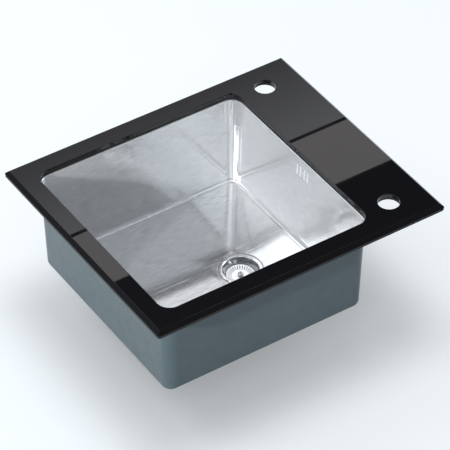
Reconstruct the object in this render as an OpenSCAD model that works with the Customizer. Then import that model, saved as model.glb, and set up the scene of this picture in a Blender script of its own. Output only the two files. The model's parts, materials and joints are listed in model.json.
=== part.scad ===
// Inset kitchen sink: a black glass deck bonded over a frame, with a square steel bowl and a strainer.
// Units are millimetres. +X points to the tap side, +Y to the back, +Z up.
// The origin is the middle of the deck's plan, at the level of the worktop's surface.

/* [Glass deck] */
// Width of the glass deck, left to right
deck_w = 600; // [560:5:760]
// Depth of the glass deck, front to back
deck_d = 510; // [480:5:560]
// Thickness of the glass
glass_t = 8; // [6:0.5:12]
// Plan radius of the deck's corners
deck_corner_r = 5; // [3:0.5:12]
// Width of the bevel ground round the top outer edge
edge_bevel = 7; // [2:0.5:10]
// Small bevel on the edges of the openings
arris = 0.5; // [0.3:0.1:1]
// Width of the glass left of the bowl opening
margin_left = 40; // [36:1:60]
// Width of the glass in front of and behind the bowl opening
margin_side = 41; // [36:1:60]
// Width of the wing that holds the tap holes
wing_w = 132; // [110:1:220]
// Plan radius of the bowl opening's corners
opening_corner_r = 25; // [18:1:60]

/* [Tap holes] */
// Diameter of a tap hole
tap_hole_d = 40; // [32:0.5:44]
// Distance from the deck's right edge to the middle of the tap holes
tap_inset_x = 79; // [60:1:95]
// Distance from the deck's front or back edge to the middle of a tap hole
tap_inset_y = 61; // [50:1:120]

/* [Frame, bonds and seal] */
// Thickness of the adhesive between the glass and the frame
glass_bond_t = 0.8; // [0.5:0.1:1.5]
// Thickness of the frame under the glass
frame_t = 4; // [3.5:0.5:8]
// Thickness of the adhesive between the frame and the bowl's flange
bowl_bond_t = 0.8; // [0.5:0.1:1]
// Thickness of the seal between the frame and the worktop
seal_t = 1.2; // [1:0.1:3]
// Width of the seal
seal_w = 8; // [5:0.5:10]
// How far the seal lies inside the deck's edge
seal_inset = 1; // [0.5:0.5:2]
// Depth of the weight-saving pockets in the frame's underside
pocket_depth = 2.5; // [1:0.5:3]

/* [Bowl] */
// Thickness of the bowl's sheet steel
sheet_t = 1; // [0.8:0.1:1.5]
// How far the bowl's wall shows inside the glass opening
reveal = 0.5; // [0.3:0.1:2]
// Depth of the bowl, from its flange to the edge of its floor
bowl_depth = 190; // [140:5:230]
// Lean of the bowl's walls from the vertical
wall_draft = 2; // [0.5:0.25:2.5]
// Radius between the bowl's walls and floor
floor_fillet = 8.3; // [5:0.1:8.5]
// How far the floor falls from its edge to the drain
floor_fall = 4; // [2:0.5:8]
// Width of the level ledge round the floor
floor_ledge = 3; // [1:0.5:8]
// Width of the bowl's flange, outside the wall
flange_w = 12; // [8:0.5:12]
// Sideways distance from the bowl's middle to the drain
drain_shift_x = 80; // [-90:1:90]
// Distance from the bowl's middle back to the drain
drain_shift_y = -6; // [-60:1:60]

/* [Overflow] */
// Width of an overflow slot
slot_w = 5; // [4:0.5:6]
// Height of an overflow slot
slot_h = 26.5; // [15:0.5:35]
// Depth of the slots' middle below the bowl's flange
slot_drop = 30; // [24:0.5:60]
// Distance between the two inner slots
slot_inner_pitch = 12; // [11:0.5:16]
// Distance from an inner slot to the outer one beside it
slot_outer_pitch = 9.6; // [8:0.2:14]
// Distance from the bowl's middle back to the middle of the slots
slot_shift_y = -6; // [-60:1:60]
// Diameter of the screw hole among the slots
overflow_screw_d = 5; // [4:0.5:6]

/* [Strainer] */
// Diameter of the strainer's ring
ring_d = 81; // [76:0.5:100]
// Diameter of the funnel's mouth
mouth_d = 66.4; // [62:0.2:68]
// Inner diameter of the strainer's cup
cup_d = 55.2; // [50:0.2:58]
// Depth of the funnel, from the floor down to the cup
funnel_h = 12.5; // [8:0.5:16]
// Depth of the cup's seat below the floor
seat_drop = 30; // [28:0.5:45]
// Wall thickness of the strainer's body
body_wall = 1.4; // [1:0.1:2]
// How high the ring stands above the floor
ring_proud = 0.8; // [0.4:0.1:2]
// Depth of the recess pressed in the floor for the ring
recess_depth = 2; // [1.8:0.1:4]
// Thickness of the gasket under the ring
flange_gasket_t = 0.8; // [0.5:0.1:1]
// Thickness of the gasket under the floor
under_gasket_t = 1.6; // [1:0.1:3]
// Thickness of the friction ring above the lock nut
friction_ring_t = 0.8; // [0.5:0.1:1.5]
// Diameter of the lock nut's flange
nut_flange_d = 86; // [82:0.5:100]

/* [Basket] */
// Diameter of the slotted dish
basket_d = 53.6; // [46:0.2:54]
// Number of slits in the dish
slit_count = 30; // [12:1:36]
// Width of a slit
slit_w = 1.5; // [1:0.1:2]
// Depth of the dish, from its edge to its middle
dish_drop = 4; // [2:0.5:5]
// Radius of the dish's flat middle
dish_flat_r = 15; // [12:0.5:18]
// Radius of the knob's dome
knob_r = 5.5; // [4:0.5:8]
// Height of the knob above the dish
knob_h = 9; // [6:0.5:14]
// Radius of the stopper seal
stopper_r = 22; // [18:0.5:24]
// Radius of the basket's post
post_r = 3.5; // [2.5:0.1:4]

/* [Outlet] */
// Outer diameter of the tailpiece
tail_d = 38; // [32:0.5:40]
// Length of the tailpiece below the washer
tail_l = 47; // [35:1:150]
// Outer diameter of the body's threaded spigot
spigot_d = 44; // [43:0.5:47]

/* [Fixing clips] */
// Distance from the deck's middle to a clip on the front or back side
clip_along_x = 165; // [120:5:200]
// Distance from the deck's middle to a clip on the left or right side
clip_along_y = 120; // [90:5:150]
// Side of the threaded block
clip_block = 10; // [9:0.5:14]
// Height of the threaded block
clip_block_h = 13; // [10:0.5:30]
// Width of a pawl
pawl_w = 10; // [8:0.5:14]
// Thickness of a pawl
pawl_t = 3; // [2:0.5:5]
// Distance from the deck's edge to a pawl's tip when the pawl is swung out
pawl_tip_inset = 1; // [0.5:0.5:4]
// Diameter of the clip screws
clip_screw_d = 5; // [4:0.5:6]

/* [Hidden] */
$fn = 96;

// Overrun that keeps a cut from ending on a face
over = 1;
// Gap between pieces that move past each other
play = 0.3;
// Radial clearance of a turning or sliding fit
running = 0.05;
// Radial clearance of a piece that is dropped over another
loose = 0.5;

// Levels, from the worktop up
frame_z = seal_t;
glass_bond_z = frame_z + frame_t;
glass_z = glass_bond_z + glass_bond_t;
deck_top_z = glass_z + glass_t;
flange_top_z = frame_z - bowl_bond_t;
floor_z = flange_top_z - bowl_depth;
drain_z = floor_z - floor_fall;

// The hopper's rim lies this far above the floor's edge, so that its slopes cut the floor cleanly
hopper_lift = 0.2;
// Level ring of floor round the drain's recess
drain_flat = 3;

// Lean of the walls over the bowl's depth, and the floor fillet that its corners leave room for
wall_lean = tan(wall_draft) * bowl_depth;
floor_r = min(floor_fillet, (opening_corner_r - reveal - sheet_t - wall_lean) / 2 - 0.1);

// Plan of the bowl opening
opening_w = deck_w - margin_left - wing_w;
opening_d = deck_d - 2 * margin_side;
bowl_x = (margin_left - wing_w) / 2;
bowl_w = opening_w - 2 * reveal;
bowl_d = opening_d - 2 * reveal;
bowl_corner_r = opening_corner_r - reveal;
drain_x = bowl_x + drain_shift_x;
drain_y = drain_shift_y;
tap_x = deck_w / 2 - tap_inset_x;
tap_y = deck_d / 2 - tap_inset_y;

// The frame stands this far inside the glass edges, so the glass shades it
frame_setback = 0.5;
// The adhesive stops this far short of the edges of what it joins
bond_setback = 1;
// Pockets in the frame's underside, in the wing between the tap holes
pocket_border = 36;
pocket_columns = 2;
pocket_rows = 6;
pocket_rib = 8;
pocket_corner_r = 4;
// Solid collar that the frame keeps round a tap hole
tap_collar = 12;

// Damping pads under the floor
pad_t = 2;
pad_gap = 14;
pad_border = 20;
pad_d = 240;
pad_corner_r = 10;

// Strainer, measured down from the floor at the drain
ring_r = ring_d / 2;
mouth_r = mouth_d / 2;
cup_r = cup_d / 2;
cup_out_r = cup_r + body_wall;
neck_gap = 1.3;
drain_hole_r = mouth_r + neck_gap;
recess_r = ring_r + 1.5;
ring_under = recess_depth - flange_gasket_t;
ring_chamfer = 1.2;
spigot_r = spigot_d / 2;
tail_r = tail_d / 2;
tail_wall = 1.5;
bore_r = tail_r - tail_wall;
outlet_r = bore_r - 2.5;
spigot_l = 15;
spigot_end = seat_drop + body_wall + spigot_l;
sleeve_top = seat_drop + body_wall + 0.2;
sleeve_l = 6.5;
sleeve_end = sleeve_top + sleeve_l;
sleeve_r = post_r + 3.5;
arm_w = 3;
arm_h = 3.5;
arm_root = 1;

// Clamping stack below the floor
recess_under = recess_depth + sheet_t;
stack_r = nut_flange_d / 2;
stack_in_r = drain_hole_r + 0.5;
friction_drop = recess_under + under_gasket_t;
nut_drop = friction_drop + friction_ring_t;
nut_flange_h = 6;
nut_cone_h = 5;
nut_thread_h = 10;
nut_wall = 6.5;
nut_throat = 3;
nut_lugs = 8;
lug_w = 5;
lug_root = 1;

// Outlet joint
gasket_out_r = spigot_r - 0.2;
tail_washer_t = 2;
tail_flange_t = 2;
tail_collar_r = tail_r + 0.4;
tail_collar_past = 0.5;
coupling_up = 10;
coupling_lip = 2.5;
coupling_wall = 4.5;
coupling_ribs = 12;
rib_w = 3;
rib_h = 1.5;

// Basket, measured down from the floor at the drain
basket_r = basket_d / 2;
dish_edge = funnel_h + 0.5;
dish_t = 1.2;
dish_mid = dish_edge + dish_drop;
rim_w = 1;
slit_start = 1;
slit_l = basket_r - rim_w - dish_flat_r - slit_start - 0.5;
hub_r = 8;
stopper_t = 2.5;
stopper_under = seat_drop - play;
hub_end = stopper_under - stopper_t;
clip_ring_r = post_r + 2.5;
clip_ring_t = 1.2;
post_tip = 6;
post_end = sleeve_end + post_tip;
knob_neck_r = 2.6;

// Fixing clips, in levels from the frame down, between the deck's edge and the bowl's flange
clip_gap = 0.5;
clip_setback = reveal - sheet_t - flange_w - clip_gap - clip_block / 2;
clip_inset_x = margin_left + clip_setback;
clip_inset_y = margin_side + clip_setback;
clip_screw_r = clip_screw_d / 2;
screw_flange_r = clip_screw_r + 2;
screw_flange_t = 1;
screw_head_r = clip_screw_r + 1.3;
screw_head_h = 3;
hex_key = clip_screw_d * 0.8;
hex_depth = 2;
pawl_top_z = frame_z - clip_block_h - play;
screw_seat_z = pawl_top_z - pawl_t - play;
screw_tip_z = frame_z - 1;
tooth_count = 3;
tooth_pitch = 2;
tooth_side = 1;

// Each clip: the side's turn about Z, the reach from the middle to the edge, the screw's distance
// from that edge, and the place along the side
CLIPS = [
    [0, deck_d / 2, clip_inset_y, -clip_along_x], [0, deck_d / 2, clip_inset_y, clip_along_x],
    [90, deck_w / 2, clip_inset_x, -clip_along_y], [90, deck_w / 2, clip_inset_x, clip_along_y],
    [180, deck_d / 2, clip_inset_y, -clip_along_x], [180, deck_d / 2, clip_inset_y, clip_along_x],
    [270, deck_w / 2, clip_inset_x, -clip_along_y], [270, deck_w / 2, clip_inset_x, clip_along_y]
];

// Rectangle with round corners, centred on the origin
module round_rect(w, d, r) {
    square([w - 2 * r, d], center = true);
    square([w, d - 2 * r], center = true);
    for (x = [-1, 1], y = [-1, 1])
        translate([x * (w / 2 - r), y * (d / 2 - r)]) circle(r);
}

// Half of a vessel's section: a wall that leans in by the draft and meets the floor in a fillet
module wall_section(reach, depth, draft, fillet) {
    mid_x = reach - tan(draft) * (depth - fillet) - fillet / cos(draft);
    mid_z = fillet - depth;
    intersection() {
        translate([0, -depth]) square([reach, depth]);
        union() {
            polygon([
                [0, 0], [reach, 0],
                [mid_x + fillet * cos(draft), mid_z - fillet * sin(draft)],
                [mid_x, mid_z], [mid_x, -depth], [0, -depth]
            ]);
            if (fillet > 0) translate([mid_x, mid_z]) circle(fillet);
        }
    }
}

// Closed vessel shape under z = 0: straight runs between turned corners
module vessel(w, d, r, depth, draft, fillet) {
    for (x = [0, 1], y = [0, 1])
        mirror([x, 0, 0]) mirror([0, y, 0])
            translate([w / 2 - r, d / 2 - r, 0])
                rotate_extrude(angle = 90) wall_section(r, depth, draft, fillet);
    rotate([90, 0, 0]) linear_extrude(d - 2 * r, center = true)
        for (side = [0, 1]) mirror([side, 0]) wall_section(w / 2, depth, draft, fillet);
    rotate([90, 0, 90]) linear_extrude(w - 2 * r, center = true)
        for (side = [0, 1]) mirror([side, 0]) wall_section(d / 2, depth, draft, fillet);
}

// Plate with one width bevelled at 45 degrees, long enough to cut a deck of the other width
module bevelled_bar(w, length) {
    rotate([90, 0, 0]) linear_extrude(length + 2 * over, center = true) polygon([
        [-w / 2, 0], [w / 2, 0], [w / 2, glass_t - edge_bevel], [w / 2 - edge_bevel, glass_t],
        [edge_bevel - w / 2, glass_t], [-w / 2, glass_t - edge_bevel]
    ]);
}

module at_bowl() {
    translate([bowl_x, 0, 0]) children();
}

module at_drain() {
    translate([drain_x, drain_y, drain_z]) children();
}

module at_taps() {
    for (y = [-1, 1]) translate([tap_x, y * tap_y, 0]) children();
}

module at_clip(i) {
    rotate([0, 0, CLIPS[i][0]]) translate([CLIPS[i][3], CLIPS[i][2] - CLIPS[i][1], 0]) children();
}

// Flat ring from one drop to another below the drain's floor
module drain_ring(out_r, in_r, top, bottom) {
    at_drain() translate([0, 0, -bottom]) difference() {
        cylinder(h = bottom - top, r = out_r);
        translate([0, 0, -over]) cylinder(h = bottom - top + 2 * over, r = in_r);
    }
}

// Opening with its top and bottom edges taken off
module arrised_opening(w, d, r, height) {
    translate([0, 0, -over]) linear_extrude(height + 2 * over) round_rect(w, d, r);
    translate([0, 0, height]) vessel(w + 2 * arris, d + 2 * arris, r + arris, arris, 45, 0);
    mirror([0, 0, 1]) vessel(w + 2 * arris, d + 2 * arris, r + arris, arris, 45, 0);
}

module arrised_hole(r, height) {
    translate([0, 0, -over]) cylinder(h = height + 2 * over, r = r);
    translate([0, 0, height - arris]) cylinder(h = arris, r1 = r, r2 = r + arris);
    cylinder(h = arris, r1 = r + arris, r2 = r);
}

module glass_deck() {
    color([0.06, 0.06, 0.07]) translate([0, 0, glass_z]) difference() {
        intersection() {
            linear_extrude(glass_t) round_rect(deck_w, deck_d, deck_corner_r);
            bevelled_bar(deck_w, deck_d);
            rotate([0, 0, 90]) bevelled_bar(deck_d, deck_w);
        }
        at_bowl() arrised_opening(opening_w, opening_d, opening_corner_r, glass_t);
        at_taps() arrised_hole(tap_hole_d / 2, glass_t);
    }
}

// Plan of the frame, or of an adhesive layer that stops short of its edges
module frame_plan(setback) {
    difference() {
        round_rect(deck_w - 2 * setback, deck_d - 2 * setback, deck_corner_r - frame_setback);
        translate([bowl_x, 0])
            round_rect(opening_w + 2 * setback, opening_d + 2 * setback, opening_corner_r + setback);
        for (y = [-1, 1]) translate([tap_x, y * tap_y]) circle(tap_hole_d / 2 + setback + arris);
    }
}

module glass_bond() {
    color([0.1, 0.1, 0.11]) translate([0, 0, glass_bond_z]) linear_extrude(glass_bond_t)
        frame_plan(frame_setback + bond_setback);
}

// Rows of pockets in the wing's underside, between the collars of the tap holes
module frame_pockets() {
    field_w = wing_w - 2 * pocket_border;
    field_d = 2 * (tap_y - tap_hole_d / 2 - tap_collar);
    cell_w = (field_w + pocket_rib) / pocket_columns;
    cell_d = (field_d + pocket_rib) / pocket_rows;
    left = deck_w / 2 - wing_w + pocket_border;
    translate([left - pocket_rib / 2, -(field_d + pocket_rib) / 2])
        for (i = [0 : pocket_columns - 1], j = [0 : pocket_rows - 1])
            translate([(i + 0.5) * cell_w, (j + 0.5) * cell_d])
                round_rect(cell_w - pocket_rib, cell_d - pocket_rib, pocket_corner_r);
}

module support_frame() {
    color([0.13, 0.13, 0.14]) translate([0, 0, frame_z]) difference() {
        linear_extrude(frame_t) frame_plan(frame_setback);
        translate([0, 0, -over]) linear_extrude(pocket_depth + over) frame_pockets();
    }
}

module worktop_seal() {
    seal_out_w = deck_w - 2 * seal_inset;
    seal_out_d = deck_d - 2 * seal_inset;
    color([0.05, 0.05, 0.05]) linear_extrude(seal_t) difference() {
        round_rect(seal_out_w, seal_out_d, deck_corner_r);
        square([seal_out_w - 2 * seal_w, seal_out_d - 2 * seal_w], center = true);
    }
}

// The floor's fall to the drain: a shallow hopper grown by the sheet's thickness for the outside
module floor_hopper(grow) {
    inset = wall_lean + floor_r + floor_ledge;
    hopper_r = bowl_corner_r - wall_lean - floor_r;
    hull() {
        at_bowl() translate([0, 0, floor_z + hopper_lift - grow])
            linear_extrude(sheet_t + grow, $fn = 32)
                round_rect(bowl_w - 2 * inset, bowl_d - 2 * inset, max(hopper_r, 2));
        translate([drain_x, drain_y, drain_z - grow])
            cylinder(h = sheet_t, r = recess_r + drain_flat, $fn = 48);
    }
}

// Inside of the bowl, from the flange's top down to the drain hole
module bowl_cavity() {
    at_bowl() translate([0, 0, flange_top_z])
        vessel(bowl_w, bowl_d, bowl_corner_r, bowl_depth, wall_draft, floor_r);
    floor_hopper(0);
    at_drain() translate([0, 0, -recess_depth]) cylinder(h = recess_depth + over, r = recess_r);
    at_drain() translate([0, 0, -recess_under - over])
        cylinder(h = recess_under + 2 * over, r = drain_hole_r);
}

// Outside of the bowl's walls and floor, from the flange's underside down
module bowl_outside() {
    grow = sheet_t * (1 - tan(wall_draft));
    at_bowl() translate([0, 0, flange_top_z - sheet_t])
        vessel(bowl_w + 2 * grow, bowl_d + 2 * grow, bowl_corner_r + grow,
               bowl_depth, wall_draft, floor_r + sheet_t);
    floor_hopper(sheet_t);
    at_drain() translate([0, 0, -recess_under]) cylinder(h = recess_under, r = recess_r + sheet_t);
}

module bowl_flange() {
    grow = 2 * (sheet_t + flange_w);
    at_bowl() translate([0, 0, flange_top_z - sheet_t])
        linear_extrude(sheet_t) round_rect(bowl_w + grow, bowl_d + grow, bowl_corner_r + grow / 2);
}

// Overflow slots with round ends and the screw hole between them, cut along X through the right wall
module overflow_cuts() {
    reach = bowl_w / 2 - 2 * sheet_t - wall_lean;
    run = bowl_w / 2 + 3 * sheet_t - reach;
    at_bowl() translate([reach, slot_shift_y, flange_top_z - slot_drop]) rotate([0, 90, 0])
    linear_extrude(run) {
        for (side = [-1, 1], place = [slot_inner_pitch / 2, slot_inner_pitch / 2 + slot_outer_pitch])
            translate([0, side * place]) {
                square([slot_h - slot_w, slot_w], center = true);
                for (end = [-1, 1]) translate([end * (slot_h - slot_w) / 2, 0]) circle(slot_w / 2);
            }
        circle(overflow_screw_d / 2);
    }
}

module bowl() {
    color([0.72, 0.74, 0.76]) difference() {
        union() {
            bowl_outside();
            bowl_flange();
        }
        bowl_cavity();
        overflow_cuts();
    }
}

module bowl_bond() {
    grow = 2 * (sheet_t + flange_w - bond_setback);
    trim_w = opening_w + 2 * (frame_setback + bond_setback);
    trim_d = opening_d + 2 * (frame_setback + bond_setback);
    color([0.1, 0.1, 0.11]) at_bowl() translate([0, 0, flange_top_z])
        linear_extrude(bowl_bond_t) difference() {
            round_rect(bowl_w + grow, bowl_d + grow, bowl_corner_r + grow / 2);
            round_rect(trim_w, trim_d, opening_corner_r + frame_setback + bond_setback);
        }
}

// Two damping pads that follow the floor's underside, either side of the drain
module sound_pads() {
    edge = bowl_w / 2 - wall_lean - floor_r - floor_ledge - pad_border;
    left_w = edge + drain_shift_x - recess_r - sheet_t - pad_gap;
    right_w = edge - drain_shift_x - recess_r - sheet_t - pad_gap;
    color([0.2, 0.2, 0.22]) difference() {
        intersection() {
            translate([0, 0, -pad_t]) floor_hopper(sheet_t);
            at_bowl() translate([0, 0, drain_z - sheet_t - pad_t - over])
            linear_extrude(floor_fall + sheet_t + pad_t + 2 * over) {
                translate([left_w / 2 - edge, 0]) round_rect(left_w, pad_d, pad_corner_r);
                translate([edge - right_w / 2, 0]) round_rect(right_w, pad_d, pad_corner_r);
            }
        }
        floor_hopper(sheet_t);
    }
}

// Turned section of the strainer's body: ring, funnel, cup, seat and threaded spigot
module strainer_section() {
    polygon([
        [mouth_r, ring_proud - ring_chamfer],
        [mouth_r + ring_chamfer, ring_proud],
        [ring_r - ring_chamfer, ring_proud],
        [ring_r, ring_proud - ring_chamfer],
        [ring_r, -ring_under],
        [mouth_r + neck_gap / 2, -ring_under],
        [cup_out_r, -funnel_h - body_wall / 2],
        [cup_out_r, -seat_drop - body_wall],
        [spigot_r, -seat_drop - body_wall],
        [spigot_r, -spigot_end],
        [bore_r, -spigot_end],
        [bore_r, -seat_drop - body_wall],
        [outlet_r, -seat_drop - body_wall],
        [outlet_r, -seat_drop],
        [cup_r, -seat_drop],
        [cup_r, -funnel_h]
    ]);
}

module strainer_body() {
    color([0.8, 0.81, 0.82]) at_drain() {
        rotate_extrude() strainer_section();
        difference() {
            union() {
                translate([0, 0, -sleeve_end]) cylinder(h = sleeve_l, r = sleeve_r);
                for (turn = [0 : 90 : 270]) rotate([0, 0, turn])
                    translate([0, -arm_w / 2, -sleeve_top - arm_h])
                        cube([bore_r + arm_root, arm_w, arm_h]);
            }
            translate([0, 0, -sleeve_end - over]) cylinder(h = sleeve_l + 2 * over, r = post_r + running);
        }
    }
}

module flange_gasket() {
    color([0.12, 0.12, 0.12]) drain_ring(ring_r - 0.5, stack_in_r, ring_under, recess_depth);
}

module under_gasket() {
    color([0.12, 0.12, 0.12]) drain_ring(stack_r, stack_in_r, recess_under, friction_drop);
}

module friction_ring() {
    color([0.85, 0.84, 0.8]) drain_ring(stack_r, stack_in_r, friction_drop, nut_drop);
}

// Lock nut: a flange that presses on the friction ring, a cone round the funnel and a threaded collar
module lock_nut() {
    collar_r = cup_out_r + nut_wall;
    cone_top = nut_drop + nut_flange_h;
    thread_top = cone_top + nut_cone_h;
    nut_end = thread_top + nut_thread_h;
    color([0.9, 0.9, 0.88]) at_drain() {
        rotate_extrude() polygon([
            [stack_in_r, -nut_drop], [stack_r, -nut_drop], [stack_r, -cone_top],
            [collar_r, -thread_top], [collar_r, -nut_end], [cup_out_r + running, -nut_end],
            [cup_out_r + running, -thread_top], [stack_in_r, -nut_drop - nut_throat]
        ]);
        for (i = [0 : nut_lugs - 1]) rotate([0, 0, i * 360 / nut_lugs])
            translate([collar_r - lug_root, -lug_w / 2, -nut_end])
                cube([stack_r - collar_r, lug_w, nut_end - cone_top]);
    }
}

module tail_washer() {
    color([0.12, 0.12, 0.12]) drain_ring(gasket_out_r, bore_r, spigot_end, spigot_end + tail_washer_t);
}

module tailpiece() {
    flange_top = spigot_end + tail_washer_t;
    collar_end = flange_top + tail_flange_t + coupling_lip + tail_collar_past;
    color([0.9, 0.9, 0.88]) {
        drain_ring(gasket_out_r, bore_r, flange_top, flange_top + tail_flange_t);
        drain_ring(tail_collar_r, bore_r, flange_top, collar_end);
        drain_ring(tail_r, bore_r, flange_top, flange_top + tail_l);
    }
}

// Coupling nut: threaded on the spigot, with a lip under the tailpiece's flange
module coupling_nut() {
    nut_top = spigot_end - coupling_up;
    lip_top = spigot_end + tail_washer_t + tail_flange_t;
    nut_end = lip_top + coupling_lip;
    out_r = spigot_r + coupling_wall;
    color([0.9, 0.9, 0.88]) {
        drain_ring(out_r, spigot_r + running, nut_top, lip_top);
        drain_ring(out_r, tail_collar_r + loose, lip_top, nut_end);
        at_drain() for (i = [0 : coupling_ribs - 1]) rotate([0, 0, i * 360 / coupling_ribs])
            translate([out_r - lug_root, -rib_w / 2, -nut_end])
                cube([lug_root + rib_h, rib_w, nut_end - nut_top]);
    }
}

// Slotted dish of the basket
module basket() {
    color([0.85, 0.86, 0.87]) at_drain() difference() {
        rotate_extrude() polygon([
            [knob_neck_r, -dish_mid - dish_t], [dish_flat_r, -dish_mid - dish_t],
            [basket_r, -dish_edge - dish_t], [basket_r, -dish_edge], [basket_r - rim_w, -dish_edge],
            [dish_flat_r, -dish_mid], [knob_neck_r, -dish_mid]
        ]);
        for (i = [0 : slit_count - 1]) rotate([0, 0, i * 360 / slit_count])
            translate([dish_flat_r + slit_start, -slit_w / 2, -dish_mid - dish_t - over])
                cube([slit_l, slit_w, dish_drop + dish_t + 2 * over]);
    }
}

// Domed knob on a neck that passes through the dish
module basket_knob() {
    dome_h = knob_r * 0.8;
    color([0.9, 0.9, 0.9]) at_drain() {
        translate([0, 0, -dish_mid - dish_t]) cylinder(h = knob_h + dish_t - dome_h, r = knob_neck_r);
        translate([0, 0, knob_h - dish_mid - dome_h]) intersection() {
            cylinder(h = dome_h, r = knob_r);
            translate([0, 0, dome_h - knob_r]) sphere(knob_r);
        }
    }
}

// Post: a hub that clamps the stopper seal, then a stem that slides in the body's sleeve
module basket_post() {
    color([0.8, 0.8, 0.82]) at_drain() {
        translate([0, 0, -hub_end]) cylinder(h = hub_end - dish_mid - dish_t, r = hub_r);
        translate([0, 0, -post_end]) cylinder(h = post_end - hub_end, r = post_r);
    }
}

module stopper_seal() {
    color([0.12, 0.12, 0.12]) drain_ring(stopper_r, post_r, hub_end, stopper_under);
}

module seal_clip() {
    color([0.8, 0.8, 0.82]) drain_ring(clip_ring_r, post_r, stopper_under, stopper_under + clip_ring_t);
}

module clip_blocks() {
    color([0.6, 0.6, 0.62]) for (i = [0 : len(CLIPS) - 1]) at_clip(i)
        translate([0, 0, frame_z - clip_block_h]) difference() {
            translate([0, 0, clip_block_h / 2]) cube([clip_block, clip_block, clip_block_h], center = true);
            translate([0, 0, -over]) cylinder(h = clip_block_h + 2 * over, r = clip_screw_r + running);
        }
}

// Screw with a flanged head that hangs in its block, driven from below with a hexagon key
module clip_screw(i) {
    head_end = screw_seat_z - screw_flange_t - screw_head_h;
    color([0.7, 0.7, 0.72]) at_clip(i) difference() {
        union() {
            translate([0, 0, head_end]) cylinder(h = screw_tip_z - head_end, r = clip_screw_r);
            translate([0, 0, head_end]) cylinder(h = screw_head_h, r = screw_head_r);
            translate([0, 0, head_end + screw_head_h]) cylinder(h = screw_flange_t, r = screw_flange_r);
        }
        translate([0, 0, head_end - over]) cylinder(h = hex_depth + over, d = hex_key / cos(30), $fn = 6);
    }
}

// Pawl stowed along the deck's edge, with grooved teeth near its tip that bite the worktop's underside
module clip_pawl(i) {
    pawl_l = CLIPS[i][2] - pawl_tip_inset;
    color([0.6, 0.6, 0.62]) at_clip(i) translate([0, 0, pawl_top_z - pawl_t]) difference() {
        union() {
            cylinder(h = pawl_t, r = pawl_w / 2);
            translate([-pawl_l, -pawl_w / 2, 0]) cube([pawl_l, pawl_w, pawl_t]);
        }
        translate([0, 0, -over]) cylinder(h = pawl_t + 2 * over, r = clip_screw_r + running);
        for (k = [1 : tooth_count])
            translate([k * tooth_pitch - pawl_l, 0, pawl_t]) rotate([0, 45, 0])
                cube([tooth_side, pawl_w + 2 * over, tooth_side], center = true);
    }
}

glass_deck();
glass_bond();
support_frame();
worktop_seal();
bowl();
bowl_bond();
sound_pads();
strainer_body();
flange_gasket();
under_gasket();
friction_ring();
lock_nut();
tail_washer();
tailpiece();
coupling_nut();
basket();
basket_knob();
basket_post();
stopper_seal();
seal_clip();
clip_blocks();
clip_screw(0);  // clip_screw_1
clip_screw(1);  // clip_screw_2
clip_screw(2);  // clip_screw_3
clip_screw(3);  // clip_screw_4
clip_screw(4);  // clip_screw_5
clip_screw(5);  // clip_screw_6
clip_screw(6);  // clip_screw_7
clip_screw(7);  // clip_screw_8
clip_pawl(0);  // clip_pawl_1
clip_pawl(1);  // clip_pawl_2
clip_pawl(2);  // clip_pawl_3
clip_pawl(3);  // clip_pawl_4
clip_pawl(4);  // clip_pawl_5
clip_pawl(5);  // clip_pawl_6
clip_pawl(6);  // clip_pawl_7
clip_pawl(7);  // clip_pawl_8
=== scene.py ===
# %% [markdown]
# # A glass kitchen sink, dressed for its photograph
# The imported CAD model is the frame: 37 nodes that already have their true sizes. This lesson leaves
# them in place, gives each a finish, and builds new pieces where a plain solid says too little: the
# satin bowl, the slotted dish and the threads on the screws. The scene is in metres, with its origin
# in the middle of the glass, level with the worktop. Outlines are in millimetres, and MM turns them
# into metres.

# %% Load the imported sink
import json
from math import copysign, cos, hypot, pi, radians, sin, sqrt, tan
import bmesh
import bpy
from mathutils import Matrix, Vector

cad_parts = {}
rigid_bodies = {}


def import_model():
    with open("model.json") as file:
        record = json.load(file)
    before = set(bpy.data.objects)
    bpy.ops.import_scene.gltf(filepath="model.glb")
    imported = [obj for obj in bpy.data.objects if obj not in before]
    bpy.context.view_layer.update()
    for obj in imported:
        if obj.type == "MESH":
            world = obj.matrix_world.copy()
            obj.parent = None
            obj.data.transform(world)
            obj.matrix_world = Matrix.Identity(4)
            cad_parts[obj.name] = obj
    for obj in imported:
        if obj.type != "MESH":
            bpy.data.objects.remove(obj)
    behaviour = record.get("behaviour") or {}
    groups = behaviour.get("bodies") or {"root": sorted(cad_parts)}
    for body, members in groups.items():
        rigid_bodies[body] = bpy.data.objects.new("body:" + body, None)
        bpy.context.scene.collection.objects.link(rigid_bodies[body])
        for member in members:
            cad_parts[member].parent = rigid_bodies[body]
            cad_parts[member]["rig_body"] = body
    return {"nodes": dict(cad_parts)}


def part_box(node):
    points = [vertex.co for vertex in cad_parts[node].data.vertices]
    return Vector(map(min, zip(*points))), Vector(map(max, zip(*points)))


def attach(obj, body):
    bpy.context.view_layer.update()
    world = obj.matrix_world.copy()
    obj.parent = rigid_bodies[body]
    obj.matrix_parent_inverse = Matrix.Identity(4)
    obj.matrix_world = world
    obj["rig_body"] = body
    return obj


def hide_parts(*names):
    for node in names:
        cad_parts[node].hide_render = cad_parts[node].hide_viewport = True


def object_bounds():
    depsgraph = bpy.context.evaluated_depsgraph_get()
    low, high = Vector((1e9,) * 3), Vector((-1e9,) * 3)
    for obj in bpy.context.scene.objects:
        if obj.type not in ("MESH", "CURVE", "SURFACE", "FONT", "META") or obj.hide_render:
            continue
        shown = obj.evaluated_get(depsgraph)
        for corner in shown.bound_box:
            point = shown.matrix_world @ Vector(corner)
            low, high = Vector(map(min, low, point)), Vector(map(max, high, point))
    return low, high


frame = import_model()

MM = 0.001
scene = bpy.context.scene
cad_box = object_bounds()
nodes = frame["nodes"]

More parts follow.
